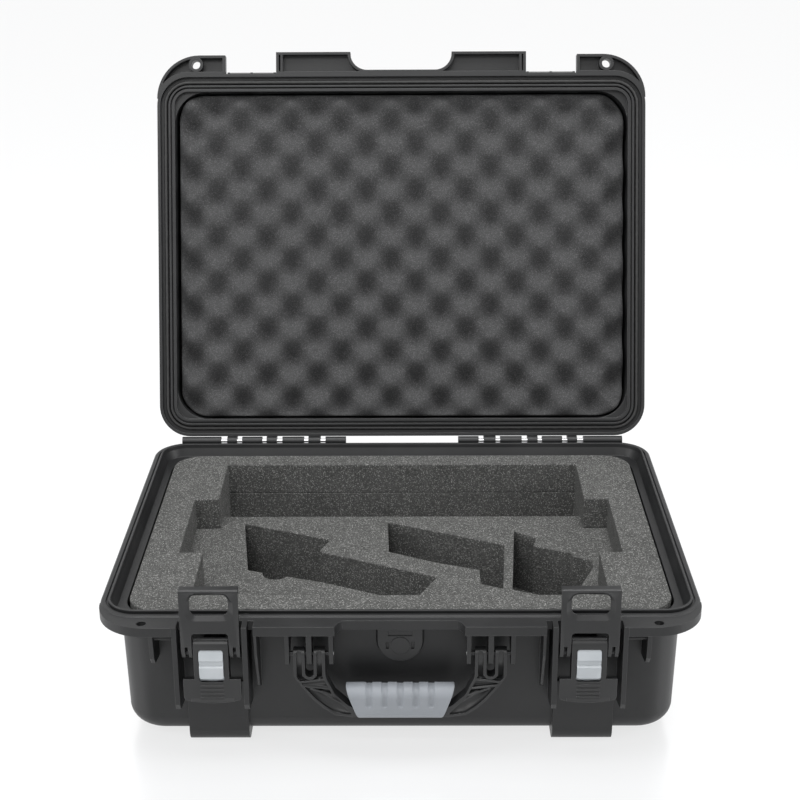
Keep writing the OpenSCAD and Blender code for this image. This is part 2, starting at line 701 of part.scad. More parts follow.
module latch_button(side) color(button_grey) translate([side * latch_x, 0, 0]) {
    window_gap = 0.4;
    face_w = window_w - 2 * window_gap;
    plate_t = 1.5;
    top = window_top - 0.3;
    low = window_low + button_travel + 0.3;
    intersection() {
        along_x(-face_w / 2, face_w) polygon([
            [button_back + eps, top], [lever_face + 0.6, top], [lever_face - 1.9, top - 8.7], [lever_face - 1.7, top - 9.2],
            [lever_face - 0.1, top - 10], [lever_face - 0.1, top - 14], [lever_face - 1.9, top - 15.4],
            [lever_face - 1.9, top - 16.6], [lever_face - 0.3, low], [button_back + eps, low]
        ]);
        along_y(lever_face - 5, 10) translate([0, (low + top) / 2]) round_rect(face_w, top - low, window_r - window_gap);
    }
    translate([-face_w / 2 - 1.4, button_back, window_low + fit]) cube([face_w + 2.8, plate_t, window_top - window_low - 2.7]);
    translate([-4, button_back, spring_high + fit]) cube([8, spring_y + 2.6 - button_back, 2]);
    // the catch's arm, which passes under the bar on the base
    along_x(-3, 6) polygon([
        [button_back + 1, lever_z - 28], [lever_y + 15, lever_z - 28], [lever_y + 15, lever_z - 24.8],
        [lever_y + 12.5, lever_z - 24.4], [lever_y + 12.5, lever_z - 25.8], [button_back + 1, lever_z - 25.8]
    ]);
}
module latch_button_left() { latch_button(-1); }
module latch_button_right() { latch_button(1); }

// A compression spring as one unbroken tube, its ends level with the seats
module button_spring(side) {
    rings_per_turn = 8;
    sides = 6;
    count = spring_turns * rings_per_turn;
    rise = (spring_high - spring_low - spring_wire) / count;
    points = [for (i = [0:count], j = [0:sides - 1])
        let (a = 360 * i / rings_per_turn, b = 360 * j / sides, r = spring_r + spring_wire / 2 * cos(b))
        [side * latch_x + r * cos(a), spring_y + r * sin(a), spring_low + spring_wire / 2 + rise * i + spring_wire / 2 * sin(b)]];
    walls = [for (i = [0:count - 1], j = [0:sides - 1], k = [0, 1])
        let (a = i * sides + j, b = i * sides + (j + 1) % sides, c = a + sides, d = b + sides)
        k == 0 ? [a, b, d] : [a, d, c]];
    caps = concat(
        [for (j = [1:sides - 2]) [0, j + 1, j]],
        [for (j = [1:sides - 2]) [count * sides, count * sides + j, count * sides + j + 1]]
    );
    color(steel) polyhedron(points, concat(walls, caps));
}
echo(least_gap_between_spring_turns = (spring_high - spring_low - spring_wire) / spring_turns - spring_wire);
module button_spring_left() { button_spring(-1); }
module button_spring_right() { button_spring(1); }

module lever_pin(side) { color(steel) pin(side * latch_x, lever_y, lever_z, lever_pin_d, neck_w - 0.4); }
module lever_pin_left() { lever_pin(-1); }
module lever_pin_right() { lever_pin(1); }
module claw_pin(side) { color(steel) pin(side * latch_x, claw_y, claw_z, claw_pin_d, claw_w - 1); }
module claw_pin_left() { claw_pin(-1); }
module claw_pin_right() { claw_pin(1); }

// ---------- handle ----------

prong_r = prong_w / 2;
valley_z = pivot_z - 19.5;
core_z = grip_top - 25;
arm_end = grip_w / 2 - 16;

// One arm of the handle in front view, trimmed all round by edge
module arm_outline(edge) {
    inner_x = prong_x - prong_gap / 2 - prong_w;
    outer_x = prong_x + prong_gap / 2 + prong_w;
    polygon([
        [inner_x + edge, valley_z + 3 - edge], [outer_x - edge, valley_z + 3 - edge],
        [outer_x - 1.5 - edge, valley_z - 2], [outer_x - 6.5 - edge * 0.9, pivot_z - 29],
        [outer_x - 15.7 - edge * 0.8, pivot_z - 41 + edge * 0.5], [outer_x - 23.5 - edge * 0.5, pivot_z - 48.7 + edge * 0.8],
        [outer_x - 33.3, pivot_z - 55.6 + edge], [grip_w / 2 - 5.7 + edge, pivot_z - 57.7 + edge],
        [arm_end + edge * 5, pivot_z - 57 + edge], [arm_end + edge * 5, core_z], [grip_w / 2 - 2.3 + edge, pivot_z - 46.3 - edge * 0.8],
        [inner_x - 7.5 + edge * 0.8, pivot_z - 35.9 - edge * 0.5], [inner_x - 0.9 + edge, valley_z - 2]
    ]);
}

// The bar inside the grip that joins the two arms
module grip_core() {
    translate([-arm_end - 4, core_z - 3]) square([2 * arm_end + 8, 11]);
}

module handle_frame() color(latch_black) difference() {
    rib_t = 1.6;
    union() {
        both_sides() {
            for (x = [-1, 1]) along_x(prong_x + x * (prong_w + prong_gap) / 2 - prong_w / 2, prong_w) {
                translate([pivot_y, pivot_z]) circle(handle_t / 2);
                translate([handle_front, valley_z + 1]) square([handle_t, pivot_z - valley_z - 1]);
            }
            along_y(handle_front, handle_t) arm_outline(0);
        }
        along_y(handle_front + 1, handle_t - 2) grip_core();
    }
    both_sides() {
        translate([prong_x, handle_front - 1, valley_z + prong_gap / 2]) rotate([-90, 0, 0])
            cylinder(d = prong_gap - 0.01, h = handle_t + 2);
        along_y(handle_front - 1, 4.4) difference() {
            arm_outline(2.2);
            translate([prong_x, valley_z + prong_gap / 2]) circle(prong_gap / 2 + 2.4);
            for (k = [0:4]) translate([prong_x - 1 - 7 * k, pivot_z - 24 - 6.2 * k]) rotate(-8 + 14 * k)
                translate([-16, 0]) square([32, rib_t]);
        }
    }
    along_x(-handle_w, 2 * handle_w) translate([pivot_y, pivot_z]) circle(handle_pin_d / 2 + pin_fit);
}

module handle_grip() color(grip_grey) difference() {
    grip_y = pivot_y - 1;
    r = 9;
    flutes = 5;
    flute_pitch = 12.9;
    flute_r = 3.4;
    intersection() {
        along_x(-grip_w / 2, grip_w) translate([grip_y, grip_top - grip_h / 2]) round_rect(grip_t, grip_h, r);
        along_y(grip_y - grip_t, 2 * grip_t) polygon([
            [-grip_w / 2, grip_top + 1], [grip_w / 2, grip_top + 1], [grip_w / 2 - 11.5, grip_top - grip_h - 1],
            [-grip_w / 2 + 11.5, grip_top - grip_h - 1]
        ]);
    }
    for (k = [0:flutes - 1]) translate([(k - (flutes - 1) / 2) * flute_pitch, grip_y - grip_t / 2 - 2.1, grip_top - 16]) {
        sphere(flute_r);
        cylinder(r = flute_r, h = 20);
    }
    along_y(handle_front + 1, handle_t - 2) grip_core();
    both_sides() along_y(handle_front, handle_t) arm_outline(0);
}

module handle_pin(side) color(steel)
    pin(side * prong_x, pivot_y, pivot_z, handle_pin_d, 2 * prong_w + prong_gap + 14);
module handle_pin_left() { handle_pin(-1); }
module handle_pin_right() { handle_pin(1); }

// ---------- valve ----------

module valve_cap() color(latch_black) difference() {
    union() {
        along_y(valve_face, valve_seat - valve_face) valve_outline(0);
        translate([0, valve_face + eps, valve_z - 4]) rotate([90, 0, 0]) cylinder(r = 8, h = 0.7);
    }
    along_y(valve_face - 1, 1.8) translate([-10, valve_z + 5]) square([20, 4.2]);
    both_sides() along_y(valve_face - 1, 3) translate([9.2, valve_z - 7.5]) square([2.7, 7]);
}

module valve_body() color(latch_black) difference() {
    union() {
        translate([0, valve_seat + eps, valve_z]) rotate([-90, 0, 0]) cylinder(d = valve_bore_d, h = valve_back - valve_seat + 2.3);
    }
    translate([0, valve_seat + 1.6, valve_z]) rotate([-90, 0, 0]) cylinder(d = 8, h = 20);
}

module valve_membrane() color([0.85, 0.85, 0.83])
    translate([0, valve_seat + 1.7, valve_z]) rotate([-90, 0, 0]) cylinder(d = 8 - 0.04, h = 0.4);

module valve_seal() color(rubber) translate([0, valve_back, valve_z]) rotate([-90, 0, 0]) difference() {
    cylinder(d = valve_bore_d + 5, h = 0.7);
    translate([0, 0, -1]) cylinder(d = valve_bore_d + 0.1, h = 3);
}

module valve_nut() color(latch_black) translate([0, valve_back + 0.7, valve_z]) rotate([-90, 0, 0]) difference() {
    cylinder(d = valve_bore_d + 6, h = 1.6, $fn = 6);
    translate([0, 0, -1]) cylinder(d = valve_bore_d + 0.1, h = 4);
}

// ---------- foam ----------

module foam_base_pad() color(foam_dark) {
    low = 2 * (edge_r - wall) - 3;
    translate([0, 0, floor_z + fit]) linear_extrude(foam_pad_t)
        round_rect(foam_w - low, foam_d - low, foam_r - 10);
}

// The cut-outs that reach down through the lower layer, seen from above
pocket_back = half_d - 44.5;
pocket_front = half_d - 48.5;
slot_back_y = 85.5;
module lower_cutouts() {
    // long slot along the back
    translate([-175.5, slot_back_y]) square([351, pocket_back - slot_back_y]);
    // slanted slot on the left, which runs on into a second one
    polygon([
        [-152.7, 69], [-68, 33], [-77, 10], [-73.5, 5.7], [32.7, -44.8], [10, -92.4], [-72, -53.5], [-140.6, -30]
    ]);
    translate([-114.5, -36.5]) circle(12);
    // large slot in the middle right
    polygon([
        [-13.3, 72.3], [97.5, 21.5], [91.6, -67], [72.2, -57.7], [71.9, -30], [35.9, -16.6], [-11.6, 7.5]
    ]);
    // stepped slot on the right, behind a thin web of foam
    polygon([
        [108.5, 51.4], [128.5, 36], [124.4, 18.6], [158.9, 3.6], [160.1, -3.7], [177, -11.5], [177, -24],
        [160, -66], [150, -91], [100, -69.5]
    ]);
}

module foam_lower_layer() color(foam_dark) translate([0, 0, pad_top + eps]) linear_extrude(shelf_z - pad_top - 2 * eps) difference() {
    round_rect(foam_w, foam_d, foam_r);
    lower_cutouts();
}

module upper_pocket() {
    translate([-175.5, -56]) square([351, pocket_back + 56]);
    translate([-198.5, -56]) square([397, 114]);
    translate([-177.5, -pocket_front]) square([355, pocket_front - 50]);
}

module foam_upper_layer() color(foam_grey) translate([0, 0, shelf_z]) linear_extrude(foam_top - shelf_z) difference() {
    round_rect(foam_w, foam_d, foam_r);
    upper_pocket();
}

// The lid's foam: a flat back, and a face of staggered bumps and dips
foam_peak = lid_z + 4.7;
foam_back = lid_top - wall - fit;
lid_foam_w = foam_w;
lid_foam_d = foam_d + 1.5;
function foam_face(x, y) = foam_peak + bump_h / 2 * (1 - cos(360 * x / bump_x) * cos(360 * y / bump_y));

module foam_lid() {
    nx = 35;
    ny = 26;
    corner = foam_r;
    bevel = lid_edge_r - wall + 2;
    function pull(p, w, d, r) =
        let (cx = w / 2 - r, cy = d / 2 - r, ex = abs(p[0]) - cx, ey = abs(p[1]) - cy, e = norm([ex, ey]))
        ex > 0 && ey > 0 && e > r ? [sign(p[0]) * (cx + ex * r / e), sign(p[1]) * (cy + ey * r / e)] : p;
    function spot(i, j) = pull([lid_foam_w * (i / nx - 0.5), lid_foam_d * (j / ny - 0.5)], lid_foam_w, lid_foam_d, corner);
    face = [for (j = [0:ny], i = [0:nx]) let (p = spot(i, j)) [p[0], p[1], foam_face(p[0], p[1])]];
    loop = concat([for (i = [0:nx - 1]) i], [for (j = [0:ny - 1]) nx + j * (nx + 1)],
        [for (i = [0:nx - 1]) ny * (nx + 1) + nx - i], [for (j = [0:ny - 1]) (ny - j) * (nx + 1)]);
    n = len(loop);
    rim = [for (k = loop) [face[k][0], face[k][1], foam_back - bevel]];
    back = [for (k = loop) [
        face[k][0] * (lid_foam_w - 2 * bevel) / lid_foam_w, face[k][1] * (lid_foam_d - 2 * bevel) / lid_foam_d, foam_back]];
    base = len(face);
    top_faces = [for (j = [0:ny - 1], i = [0:nx - 1], k = [0, 1])
        let (a = j * (nx + 1) + i, b = a + 1, c = a + nx + 1, d = c + 1)
        k == 0 ? [a, b, d] : [a, d, c]];
    side_faces = [for (i = [0:n - 1], k = [0, 1])
        let (a = loop[i], b = loop[(i + 1) % n], c = base + i, d = base + (i + 1) % n)
        k == 0 ? [a, c, d] : [a, d, b]];
    bevel_faces = [for (i = [0:n - 1], k = [0, 1])
        let (a = base + i, b = base + (i + 1) % n, c = a + n, d = b + n)
        k == 0 ? [a, c, d] : [a, d, b]];
    back_faces = [for (i = [1:n - 2]) [base + n, base + n + i + 1, base + n + i]];
    color(foam_dark) swung_open() polyhedron(
        concat(face, rim, back), concat(top_faces, side_faces, bevel_faces, back_faces));
}

// ---------- the part ----------

base_shell();
lid_shell();
lid_gasket();
hinge_pin_left();
hinge_pin_right();
latch_claw_left();
latch_claw_right();
latch_lever_left();
latch_lever_right();
latch_button_left();
latch_button_right();
button_spring_left();
button_spring_right();
lever_pin_left();
lever_pin_right();
claw_pin_left();
claw_pin_right();
handle_frame();
handle_grip();
handle_pin_left();
handle_pin_right();
valve_cap();
valve_body();
valve_nut();
valve_seal();
valve_membrane();
foam_base_pad();
foam_lower_layer();
foam_upper_layer();
foam_lid();
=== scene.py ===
"""Looks for a hard microphone case that stands open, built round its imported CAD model."""

import math

import bmesh
import bpy
from mathutils import Matrix, Vector, noise


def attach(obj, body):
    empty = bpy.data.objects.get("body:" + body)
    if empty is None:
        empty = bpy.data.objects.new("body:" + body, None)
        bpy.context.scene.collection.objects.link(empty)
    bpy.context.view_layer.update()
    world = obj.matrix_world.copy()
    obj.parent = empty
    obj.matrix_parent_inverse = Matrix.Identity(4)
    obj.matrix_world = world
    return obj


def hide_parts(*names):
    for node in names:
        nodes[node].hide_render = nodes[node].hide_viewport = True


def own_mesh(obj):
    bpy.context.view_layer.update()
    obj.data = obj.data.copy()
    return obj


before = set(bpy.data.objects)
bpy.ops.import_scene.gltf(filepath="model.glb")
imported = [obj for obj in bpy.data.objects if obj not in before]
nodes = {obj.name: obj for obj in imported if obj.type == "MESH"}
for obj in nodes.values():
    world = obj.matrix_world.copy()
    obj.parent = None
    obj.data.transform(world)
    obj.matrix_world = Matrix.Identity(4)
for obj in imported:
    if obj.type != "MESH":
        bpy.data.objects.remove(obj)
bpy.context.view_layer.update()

# ---------------------------------------------------------------------------
# Studio: the camera stands in front of the case, on its middle, and looks down at it.
# The floor is a white sweep with a faint shine.
# ---------------------------------------------------------------------------
CAMERA_PLACE = (0.01021, -1.36764, 0.77227)
PITCH, YAW, ROLL = math.radians(20.965), math.radians(-0.445), math.radians(0.308)

camera = bpy.data.objects.new("camera", bpy.data.cameras.new("camera"))
bpy.context.scene.collection.objects.link(camera)
bpy.context.scene.camera = camera
camera.data.lens = 73.18
camera.data.sensor_width = 36
camera.location = CAMERA_PLACE
ahead = Vector((math.sin(YAW) * math.cos(PITCH), math.cos(YAW) * math.cos(PITCH), -math.sin(PITCH)))
level = Vector((math.cos(YAW), -math.sin(YAW), 0))
down = ahead.cross(level)
right = level * math.cos(ROLL) + down * math.sin(ROLL)
up = level * math.sin(ROLL) - down * math.cos(ROLL)
camera.rotation_euler = Matrix((right, up, -ahead)).transposed().to_euler()
bpy.context.scene.view_settings.view_transform = "Standard"


class Wire:
    """A socket that can be used in sums."""

    def __init__(self, graph, socket):
        self.graph = graph
        self.socket = socket

    def math(self, operation, *others):
        return self.graph.add("ShaderNodeMath", dict(enumerate((self, *others))), operation=operation)

    def __add__(self, other):
        return self.math("ADD", other)

    def __sub__(self, other):
        return self.math("SUBTRACT", other)

    def __mul__(self, other):
        return self.math("MULTIPLY", other)

    def __rsub__(self, other):
        return self.graph.add("ShaderNodeMath", {0: other, 1: self}, operation="SUBTRACT")

    __radd__ = __add__
    __rmul__ = __mul__

    def over(self, low, high):
        """0 below low, 1 above high, and smooth between."""
        span = {"Value": self, "From Min": low, "From Max": high}
        return self.graph.add("ShaderNodeMapRange", span, interpolation_type="SMOOTHSTEP")


class Graph:
    """A node tree that is filled one node at a time."""

    def __init__(self, tree):
        self.tree = tree
        tree.nodes.clear()

    def add(self, kind, values=None, out=0, **settings):
        node = self.tree.nodes.new(kind)
        for name, value in settings.items():
            setattr(node, name, value)
        for name, value in (values or {}).items():
            if isinstance(value, Wire):
                self.tree.links.new(value.socket, node.inputs[name])
            else:
                node.inputs[name].default_value = value
        return Wire(self, node.outputs[out]) if node.outputs else node

    def blend(self, factor, a, b):
        """Mixes two colours, given as links or as red, green and blue."""
        values = {0: factor}
        for place, colour in ((6, a), (7, b)):
            values[place] = colour if isinstance(colour, Wire) else (*colour, 1)
        return self.add("ShaderNodeMix", values, out=2, data_type="RGBA", clamp_factor=True)


def light_path(graph):
    """1 for what the camera sees, straight or in a reflection, and 0 for light that falls on the case."""
    seen = graph.add("ShaderNodeLightPath", out="Is Camera Ray")
    shine = graph.add("ShaderNodeLightPath", out="Is Glossy Ray")
    through = graph.add("ShaderNodeLightPath", out="Is Transmission Ray")
    return seen.math("MAXIMUM", shine).math("MAXIMUM", through)


world = bpy.data.worlds.new("studio")
bpy.context.scene.world = world
world.use_nodes = True
air = Graph(world.node_tree)
backdrop = air.add("ShaderNodeBackground", {"Color": (1, 1, 1, 1), "Strength": 1.0})
fill = air.add("ShaderNodeBackground", {"Color": (1, 1, 1, 1), "Strength": 0.27})
air.add(
    "ShaderNodeOutputWorld",
    {"Surface": air.add("ShaderNodeMixShader", {0: light_path(air), 1: fill, 2: backdrop})},
)

FLOOR_SIZE = 12
sweep = bmesh.new()
bmesh.ops.create_grid(sweep, x_segments=1, y_segments=1, size=FLOOR_SIZE / 2)
floor_mesh = bpy.data.meshes.new("floor")
sweep.to_mesh(floor_mesh)
floor = bpy.data.objects.new("floor", floor_mesh)
bpy.context.scene.collection.objects.link(floor)
floor_look = bpy.data.materials.new("white_sweep")
floor_look.use_nodes = True
ground = Graph(floor_look.node_tree)
paper = ground.add("ShaderNodeBsdfDiffuse", {"Color": (0.88, 0.88, 0.88, 1)})
glow = ground.add("ShaderNodeEmission", {"Color": (1, 1, 1, 1), "Strength": 0.74})
sheen = ground.add("ShaderNodeBsdfGlossy", {"Color": (0.19, 0.19, 0.19, 1), "Roughness": 0.27})
shade = ground.add("ShaderNodeBsdfDiffuse", {"Color": (0.14, 0.145, 0.15, 1)})
skin = ground.add("ShaderNodeAddShader", {0: sheen, 1: shade})
shown = ground.add("ShaderNodeAddShader", {0: glow, 1: skin})
ground.add(
    "ShaderNodeOutputMaterial",
    {"Surface": ground.add("ShaderNodeMixShader", {0: light_path(ground), 1: paper, 2: shown})},
)
floor_mesh.materials.append(floor_look)


def softbox(name, place, aim, width, height, watts):
    """A square lamp that faces a point."""
    lamp = bpy.data.lights.new(name, "AREA")
    lamp.shape = "RECTANGLE"
    lamp.size, lamp.size_y = width, height
    lamp.energy = watts
    stand = bpy.data.objects.new(name, lamp)
    stand.location = place
    stand.rotation_euler = (Vector(aim) - Vector(place)).to_track_quat("-Z", "Y").to_euler()
    bpy.context.scene.collection.objects.link(stand)


softbox("softbox_above", (0, -0.25, 2.3), (0, 0.0, 0.1), 1.8, 1.2, 40)
softbox("softbox_front", (-0.5, -1.9, 2.0), (0, 0.1, 0.2), 1.4, 0.8, 17)
softbox("softbox_left", (-1.9, -0.6, 0.9), (0, 0, 0.2), 0.7, 1.4, 14)
softbox("softbox_right", (1.9, -0.5, 0.9), (0, 0, 0.2), 0.7, 1.4, 15)

# ---------------------------------------------------------------------------
# Shell: base and lid are injection moulded in black polypropylene, with the fine
# grain of an etched mould. Rims and ribs are a little smoother along their edges, and are painted lighter
# there as a painted highlight.
# ---------------------------------------------------------------------------
SHELL_COLOUR = (0.0100, 0.0103, 0.0108)
# Lighter tone: the random mottling leans a little towards it, and edges take almost all of it as a painted
# highlight.
SHELL_MOTTLE_AND_EDGE_HIGHLIGHT = (0.0340, 0.0345, 0.0355)


def plain_finish(name):
    """A new material, its graph and a call that closes it with a shader and an output."""
    look = bpy.data.materials.new(name)
    look.use_nodes = True
    graph = Graph(look.node_tree)

    def close(**sockets):
        values = {key.replace("_", " "): value for key, value in sockets.items()}
        graph.add("ShaderNodeOutputMaterial", {"Surface": graph.add("ShaderNodeBsdfPrincipled", values)})
        return look

    return graph, close


def object_place(graph):
    return graph.add("ShaderNodeTexCoord", out="Object")


def moulded_plastic(name, colour, mottle_and_highlight, grain_scale, grain_depth, shine, edge, gloss):
    """Moulded plastic: an etched grain, a faint cloudiness, and eased edges that are a little smoother and
    painted lighter as a painted highlight.
    """
    graph, close = plain_finish(name)
    place = object_place(graph)
    cells = {"Vector": place, "Scale": grain_scale, "Randomness": 1.0}
    grain = graph.add("ShaderNodeTexVoronoi", cells, feature="SMOOTH_F1")
    haze = {"Vector": place, "Scale": 14.0, "Detail": 4.0, "Roughness": 0.55}
    cloud = graph.add("ShaderNodeTexNoise", haze).over(0.35, 0.7)
    fine = graph.add("ShaderNodeTexNoise", {"Vector": place, "Scale": grain_scale * 0.35, "Detail": 2.0})
    eased = graph.add("ShaderNodeBevel", {"Radius": edge}, samples=6)
    relief = {"Height": grain + fine * 0.5, "Strength": 0.35, "Distance": grain_depth, "Normal": eased}
    skin = graph.add("ShaderNodeBump", relief)
    flat = graph.add("ShaderNodeNewGeometry", out="Normal")
    level_with = graph.add("ShaderNodeVectorMath", {0: eased, 1: flat}, out="Value", operation="DOT_PRODUCT")
    # Edges, where the eased normal leaves the flat one: painted lighter as a painted highlight, and made a
    # little smoother.
    painted_highlight_edges = (1.0 - level_with).over(0.01, 0.22)
    base = graph.blend(cloud * 0.25 + fine * 0.15 + painted_highlight_edges * 0.9, colour, mottle_and_highlight)
    dull = shine + cloud * 0.06 - painted_highlight_edges * 0.1
    return close(Base_Color=base, Roughness=dull, Specular_IOR_Level=gloss, Normal=skin)


def paint(names, look):
    """Gives CAD nodes a finish in place of the plain one."""
    for name in names:
        mesh = nodes[name].data
        mesh.materials.clear()
        mesh.materials.append(look)


shell_look = moulded_plastic(
    "shell_plastic",
    SHELL_COLOUR,
    SHELL_MOTTLE_AND_EDGE_HIGHLIGHT,
    grain_scale=1500.0,
    grain_depth=0.00016,
    shine=0.40,
    edge=0.0010,
    gloss=0.36,
)
paint(["base_shell", "lid_shell"], shell_look)

# ---------------------------------------------------------------------------
# Latch levers and valve: glass-filled nylon, about as black as the shell but smoother,
# so its chamfers catch the light; they also carry a painted highlight.
# ---------------------------------------------------------------------------
NYLON_COLOUR = (0.0095, 0.0098, 0.0103)
# Lighter tone for the random mottling and for the painted highlight on edges.
NYLON_MOTTLE_AND_EDGE_HIGHLIGHT = (0.0460, 0.0465, 0.0475)
nylon_look = moulded_plastic(
    "latch_plastic",
    NYLON_COLOUR,
    NYLON_MOTTLE_AND_EDGE_HIGHLIGHT,
    grain_scale=2100.0,
    grain_depth=0.0001,
    shine=0.33,
    edge=0.0009,
    gloss=0.40,
)
paint(["latch_lever_left", "latch_lever_right", "valve_cap", "valve_body", "valve_nut"], nylon_look)

# ---------------------------------------------------------------------------
# Claws: nylon plates that hook over the lid. Each has a finger slot, whose sides and
# lower edge are bevelled wide so that a fingertip finds them.
# ---------------------------------------------------------------------------
CLAW_X, CLAW_FACE, CLAW_T = 0.1545, -0.204, 0.0036
SLOT_W, SLOT_LOW, SLOT_HIGH, SLOT_ROUND = 0.0315, 0.1388, 0.1577, 0.006
SLOT_BEVEL, SLOT_BEVEL_DEPTH = 0.0042, 0.0028
# How deep each outline of the slot lies, from in front of the claw to behind it, and how
# much wider than the slot it is.
SLOT_STEPS = ((-0.0006, SLOT_BEVEL * 1.2), (SLOT_BEVEL_DEPTH, 0.0), (CLAW_T + 0.002, 0.0))
SLOT_CORNER_GROWS = 0.6
SMOOTH_UNDER = math.radians(32)


def clean_copy(node):
    """A copy of a CAD node's mesh, with its loose triangles joined and its flat faces whole."""
    shape = bmesh.new()
    shape.from_mesh(nodes[node].data)
    bmesh.ops.remove_doubles(shape, verts=shape.verts, dist=1e-6)
    bmesh.ops.dissolve_limit(
        shape,
        angle_limit=math.radians(1),
        use_dissolve_boundaries=False,
        verts=shape.verts,
        edges=shape.edges,
    )
    return shape


def new_piece(name, shape, look):
    """Turns a bmesh into an object at the origin."""
    mesh = bpy.data.meshes.new(name)
    shape.to_mesh(mesh)
    shape.free()
    mesh.materials.append(look)
    piece = bpy.data.objects.new(name, mesh)
    bpy.context.scene.collection.objects.link(piece)
    return piece


def ring(shape, across, y, up, width, height, round_off, segments=40):
    """Adds a round-cornered outline that faces forwards, and returns its edges."""
    upright = Matrix.Rotation(math.pi / 2, 4, "X")
    made = bmesh.ops.create_circle(shape, segments=segments, radius=round_off, matrix=upright)["verts"]
    for vert in made:
        side = 1 if vert.co.x > 0 else -1
        end = 1 if vert.co.z > 0 else -1
        vert.co = (
            across + vert.co.x + side * (width / 2 - round_off),
            y,
            up + vert.co.z + end * (height / 2 - round_off),
        )
    return list({edge for vert in made for edge in vert.link_edges})


def loft(shape, rings):
    """Skins a row of outlines into one closed body."""
    for one, other in zip(rings, rings[1:]):
        bmesh.ops.bridge_loops(shape, edges=one + other)
    for end in (rings[0], rings[-1]):
        bmesh.ops.contextual_create(shape, geom=end)
    bmesh.ops.recalc_face_normals(shape, faces=shape.faces)


def smooth_by_angle(piece):
    piece.data.shade_smooth()
    piece.data.set_sharp_from_angle(angle=SMOOTH_UNDER)


def carve(piece, tool_shape):
    """Cuts a closed shape out of a piece, then sets its sharp edges and smooth faces again."""
    tool_mesh = bpy.data.meshes.new("tool")
    tool_shape.to_mesh(tool_mesh)
    tool_shape.free()
    tool = bpy.data.objects.new("tool", tool_mesh)
    bpy.context.scene.collection.objects.link(tool)
    cut = piece.modifiers.new("cut", "BOOLEAN")
    cut.operation, cut.solver, cut.object = "DIFFERENCE", "EXACT", tool
    bpy.context.view_layer.update()
    carved = bpy.data.meshes.new_from_object(piece.evaluated_get(bpy.context.evaluated_depsgraph_get()))
    piece.modifiers.clear()
    piece.data = carved
    bpy.data.objects.remove(tool)
    smooth_by_angle(piece)


for side_name, side in (("left", -1), ("right", 1)):
    claw = new_piece(f"claw_{side_name}_plate", clean_copy(f"latch_claw_{side_name}"), nylon_look)
    slot = bmesh.new()
    rings = []
    for depth, grow in SLOT_STEPS:
        low = SLOT_LOW - grow
        size = (SLOT_W + 2 * grow, SLOT_HIGH - low, SLOT_ROUND + grow * SLOT_CORNER_GROWS)
        rings.append(ring(slot, side * CLAW_X, CLAW_FACE + depth, (low + SLOT_HIGH) / 2, *size))
    loft(slot, rings)
    carve(claw, slot)
    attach(claw, f"claw_{side_name}")
    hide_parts(f"latch_claw_{side_name}")

# ---------------------------------------------------------------------------
# Handle frame: one nylon moulding with a forked end on each arm. A slot is moulded up
# the front of every prong, in line with the hollow of the arm below.
# ---------------------------------------------------------------------------
PRONG_X, PRONG_STEP, PRONG_SLOT_W = 0.0745, 0.0083, 0.0046
PRONG_LOW, PRONG_HIGH, HANDLE_FRONT, PRONG_SLOT_DEEP = 0.0785, 0.1044, -0.2005, 0.0028
PRONG_SLOT_ROUND = PRONG_SLOT_W / 2 - 0.00002
CUTTER_PROUD = 0.001

handle_frame = new_piece("handle_moulding", clean_copy("handle_frame"), nylon_look)
slots = bmesh.new()
size = (PRONG_SLOT_W, PRONG_HIGH - PRONG_LOW, PRONG_SLOT_ROUND)
middle = (PRONG_LOW + PRONG_HIGH) / 2
for side in (-1, 1):
    for prong in (-1, 1):
        centre = side * PRONG_X + prong * PRONG_STEP
        reach = (HANDLE_FRONT - CUTTER_PROUD, HANDLE_FRONT + PRONG_SLOT_DEEP)
        loft(slots, [ring(slots, centre, y, middle, *size, segments=24) for y in reach])
carve(handle_frame, slots)
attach(handle_frame, "handle")
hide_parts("handle_frame")

# ---------------------------------------------------------------------------
# Release buttons: light grey ABS with a pearly, almost polished face. Each is moulded in
# one piece with its finger step, and slides in the window of its lever.
# ---------------------------------------------------------------------------
graph, close = plain_finish("button_plastic")
place = object_place(graph)
swirl = graph.add("ShaderNodeTexNoise", {"Vector": place, "Scale": 60.0, "Detail": 2.0}).over(0.25, 0.75)
eased = graph.add("ShaderNodeBevel", {"Radius": 0.0007}, samples=6)
skin = graph.add("ShaderNodeBump", {"Height": swirl, "Strength": 0.06, "Distance": 0.0002, "Normal": eased})
button_look = close(
    Base_Color=graph.blend(swirl, (0.43, 0.46, 0.485), (0.48, 0.51, 0.535)),
    Roughness=0.17 + swirl * 0.06,
    Normal=skin,
)
paint(["latch_button_left", "latch_button_right"], button_look)

# ---------------------------------------------------------------------------
# Grip: soft grey rubber moulded over the handle's core, with a dry, even skin. Five
# flutes run up its front and over its top, where the fingers lie.
# ---------------------------------------------------------------------------
graph, close = plain_finish("grip_rubber")
place = object_place(graph)
pores = graph.add("ShaderNodeTexVoronoi", {"Vector": place, "Scale": 1800.0}, feature="SMOOTH_F1")
cloud = graph.add("ShaderNodeTexNoise", {"Vector": place, "Scale": 40.0, "Detail": 4.0}).over(0.3, 0.7)
eased = graph.add("ShaderNodeBevel", {"Radius": 0.0012}, samples=6)
skin = graph.add("ShaderNodeBump", {"Height": pores, "Strength": 0.25, "Distance": 0.00012, "Normal": eased})
grip_look = close(
    Base_Color=graph.blend(cloud, (0.245, 0.262, 0.285), (0.272, 0.290, 0.315)),
    Roughness=0.52 + cloud * 0.08,
    Normal=skin,
)
GRIP_W, GRIP_T, GRIP_H, GRIP_TOP, GRIP_Y = 0.0903, 0.020, 0.030, 0.0719, -0.196
GRIP_TAPER, GRIP_ROUND, GRIP_LIP = 0.0108, 0.009, 0.0007
